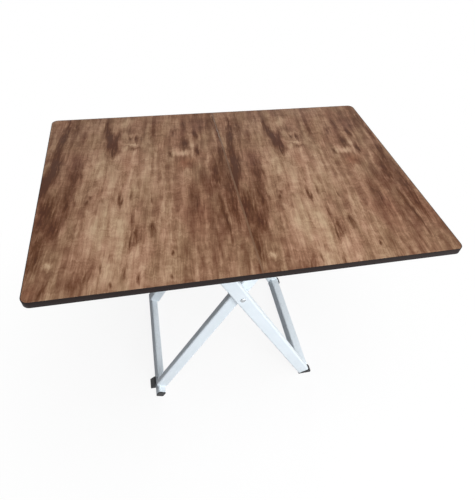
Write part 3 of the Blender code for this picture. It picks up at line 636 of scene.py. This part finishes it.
# the recess is two crossed blades, 1.1 head radii long, sunk to half the head's height
BLADE_LENGTH = 1.1
feeds = {0: given["Head Radius"], 1: BLADE_LENGTH}
arm = add_node(screws, "ShaderNodeMath", feeds, operation="MULTIPLY").outputs[0]
blades = []
for size in ({"X": arm, "Y": given["Recess Width"]}, {"X": given["Recess Width"], "Y": arm}):
    deep = add_node(screws, "ShaderNodeCombineXYZ", {**size, "Z": given["Head Height"]}).outputs[0]
    block = add_node(screws, "GeometryNodeMeshCube", {"Size": deep})
    rise = add_node(screws, "ShaderNodeCombineXYZ", {"Z": given["Head Height"]}).outputs[0]
    feeds = {"Geometry": block.outputs["Mesh"], "Translation": rise}
    blades.append(add_node(screws, "GeometryNodeTransform", feeds))
feeds = {"Mesh 1": head.outputs[0]}
cut = add_node(screws, "GeometryNodeMeshBoolean", feeds, operation="DIFFERENCE", solver="EXACT")
for blade in blades:
    screws.links.new(blade.outputs[0], cut.inputs["Mesh 2"])
# the heads point down, with their recesses turned alike
RECESS_TURN = 0.3
feeds = {"Points": given["Places"], "Instance": cut.outputs[0], "Rotation": (math.pi, 0.0, RECESS_TURN)}
placed = add_node(screws, "GeometryNodeInstanceOnPoints", feeds)
solid = add_node(screws, "GeometryNodeRealizeInstances", {0: placed.outputs[0]})
feeds = {"Geometry": solid.outputs[0], "Material": given["Metal"]}
plated = add_node(screws, "GeometryNodeSetMaterial", feeds)
add_node(screws, "NodeGroupOutput", {0: plated.outputs[0]})

screw = {"Head Radius": 0.0034, "Head Height": 0.0018, "Recess Width": 0.0009, "Metal": zinc}
FLANGE_THICKNESS = 0.0030
FLANGE_SCREWS = (-0.015, 0.015)
# the right leaf's flanges point inwards from their ears and the left leaf's outwards, so the screws stand at
# this share of the bracket's depth from its ear
FLANGE_SHARE = 0.62
HINGE_PLATE = 0.0015
# a hinge plate's screws: along the plate from its middle, and back from its outer edge
HINGE_SCREWS = ((-0.022, 0.012), (0.0, 0.007), (0.022, 0.012))
for side, body in ((1, "right_leaf"), (-1, "left_leaf")):
    leaf = body.split("_")[0]
    points = []
    for word, end in (("front", -1), ("rear", 1)):
        low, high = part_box(leaf + "_bracket_" + word)
        share = FLANGE_SHARE if (end < 0) == (leaf == "right") else 1 - FLANGE_SHARE
        flange_middle = low[1] + (high[1] - low[1]) * share
        for shift in FLANGE_SCREWS:
            points.append(((low[0] + high[0]) / 2 + shift, flange_middle, high[2] - FLANGE_THICKNESS))
    for word in ("front", "middle", "rear"):
        low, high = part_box("seam_hinge_" + word + "_" + leaf)
        outer = side * max(abs(low[0]), abs(high[0]))
        for shift, back in HINGE_SCREWS:
            points.append((outer - side * back, (low[1] + high[1]) / 2 + shift, high[2] - HINGE_PLATE))
    settle(leaf + "_leaf_screws", points, [], screws, screw, body)

# Studio: a white floor that keeps a faint shadow, a large soft lamp at the front right, a weak one at the
# right, a low one behind, one above, and a faint cold light all round. Little light comes from the left,
# where the photographed tubes are dark.
FLOOR_REACH = 9
corners = [(x * FLOOR_REACH, y * FLOOR_REACH, 0) for x, y in ((-1, -1), (1, -1), (1, 1), (-1, 1))]
floor_mesh = bpy.data.meshes.new("studio_floor")
floor_mesh.from_pydata(corners, [], [(0, 1, 2, 3)])
floor = bpy.data.objects.new("studio_floor", floor_mesh)
bpy.context.scene.collection.objects.link(floor)


def backdrop_rays(tree):
    """1 for a ray that should meet the white backdrop, from the camera, a reflection or glass, and else 0."""
    rays = add_node(tree, "ShaderNodeLightPath").outputs
    seen = rays["Is Camera Ray"]
    for other in ("Is Glossy Ray", "Is Transmission Ray"):
        seen = add_node(tree, "ShaderNodeMath", {0: seen, 1: rays[other]}, operation="MAXIMUM").outputs[0]
    return seen


material, tree, shader, place = new_finish("white_paper_floor", Roughness=1.0, Specular_IOR_Level=0.0)
# plain matt paper: it looks white, with a share of the shadow kept near the table, and throws back only the
# light of a grey floor
shader.inputs["Base Color"].default_value = linear("#868a90")
paper = add_node(tree, "ShaderNodeBsdfDiffuse", {"Color": linear("#fbfbfb")})
glow = add_node(tree, "ShaderNodeEmission", {"Color": (1.0, 1.0, 1.0, 1.0), "Strength": 1.0})
away = add_node(tree, "ShaderNodeVectorMath", {0: place}, operation="LENGTH").outputs["Value"]
feeds = {"Value": away, "From Min": 0.35, "From Max": 1.1, "To Min": 0.11, "To Max": 0.0}
kept = add_node(tree, "ShaderNodeMapRange", feeds, interpolation_type="SMOOTHSTEP").outputs[0]
bright = add_node(tree, "ShaderNodeMixShader", {0: kept, 1: glow.outputs[0], 2: paper.outputs[0]})
feeds = {0: backdrop_rays(tree), 1: shader.outputs[0], 2: bright.outputs[0]}
both = add_node(tree, "ShaderNodeMixShader", feeds)
tree.links.new(both.outputs[0], tree.nodes["Material Output"].inputs["Surface"])
floor_mesh.materials.append(material)

# each lamp's power in watts, width, place and the point that it faces
for name, power, size, spot, aim in (
    ("key_lamp", 78.0, 2.4, (0.9, -2.7, 1.4), (0.0, 0.0, 0.45)),
    ("side_lamp", 16.0, 1.0, (2.4, -0.3, 0.7), (0.0, 0.0, 0.25)),
    ("rear_lamp", 30.0, 0.9, (0.8, 2.6, 0.45), (0.0, 0.0, 0.35)),
    ("top_lamp", 37.0, 2.2, (0.2, -0.8, 2.8), (0.0, 0.0, 0.5)),
):
    lamp = bpy.data.lights.new(name, "AREA")
    lamp.energy = power
    lamp.shape = "DISK"
    lamp.size = size
    held = bpy.data.objects.new(name, lamp)
    held.location = spot
    held.rotation_euler = (Vector(aim) - Vector(spot)).to_track_quat("-Z", "Y").to_euler()
    bpy.context.scene.collection.objects.link(held)

world = bpy.data.worlds.new("studio_air")
bpy.context.scene.world = world
world.use_nodes = True
tree = world.node_tree
air = tree.nodes["Background"]
air.inputs["Color"].default_value = linear("#dfeaff")
air.inputs["Strength"].default_value = 0.075
white = add_node(tree, "ShaderNodeBackground", {"Color": (1.0, 1.0, 1.0, 1.0), "Strength": 1.0})
feeds = {0: backdrop_rays(tree), 1: air.outputs[0], 2: white.outputs[0]}
both = add_node(tree, "ShaderNodeMixShader", feeds)
tree.links.new(both.outputs[0], tree.nodes["World Output"].inputs[0])

# Camera: above the open top and before its left half, as the photograph was taken. Its focal length in
# pixels, its turns in radians and the top's place before it were fitted to the top's edges and the legs.
IMAGE_WIDTH = 475
FOCAL = 412.67
TILT, ROLL, HEADING = 2.3853, 0.0550, 0.2045
TOP_MIDDLE = Vector((0.0, 0.0, 0.730))
TOP_BEFORE_CAMERA = Vector((-0.0127, -0.1818, 1.0213))
turn = Matrix.Rotation(TILT, 3, "X") @ Matrix.Rotation(ROLL, 3, "Y") @ Matrix.Rotation(HEADING, 3, "Z")
eye = TOP_MIDDLE - turn.transposed() @ TOP_BEFORE_CAMERA
camera = bpy.data.cameras.new("camera")
camera.sensor_fit = "HORIZONTAL"
camera.sensor_width = 36.0
camera.lens = FOCAL * camera.sensor_width / IMAGE_WIDTH
viewer = bpy.data.objects.new("camera", camera)
# the fitted axes run right, down and forward, where a camera's own run right, up and back
viewer.matrix_world = Matrix.Translation(eye) @ (Matrix.Diagonal((1, -1, -1)) @ turn).transposed().to_4x4()
bpy.context.scene.collection.objects.link(viewer)
bpy.context.scene.camera = viewer
bpy.context.scene.view_settings.view_transform = "Standard"
